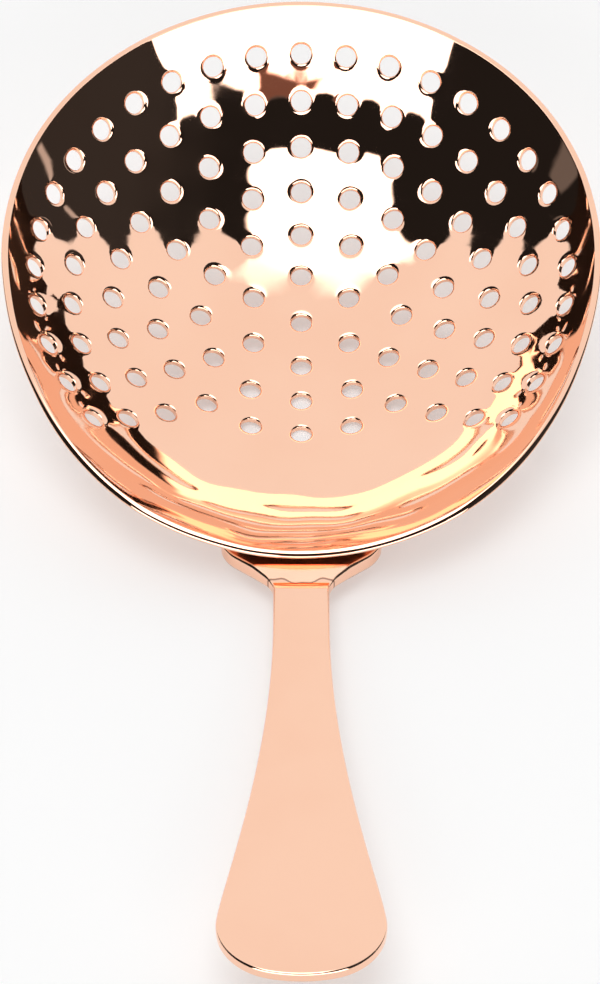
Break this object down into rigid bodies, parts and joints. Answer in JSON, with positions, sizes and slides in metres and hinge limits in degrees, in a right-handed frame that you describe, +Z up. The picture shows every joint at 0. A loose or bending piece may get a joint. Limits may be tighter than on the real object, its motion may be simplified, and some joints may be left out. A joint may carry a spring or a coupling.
{
  "type": "julep strainer",
  "caption": "Perforated egg-shaped bowl with a flat flared handle welded under its rim, for holding back ice while a mixed drink is poured.",
  "frame": {"origin": "on the table, under the middle of the length and width of the strainer as it lies on the underside of its bowl", "axes": "+Z up, -Y along the handle away from the bowl, +X across the bowl; the plane x = 0 is the plane of symmetry"},
  "size_m": [0.0806, 0.1562, 0.0312],
  "materials": {
    "plate": "mirror-polished copper plate over stainless steel"
  },
  "bodies": {
    "root": {"bowl": "plate", "handle": "plate", "root_weld": "plate"}
  },
  "joints": []
}
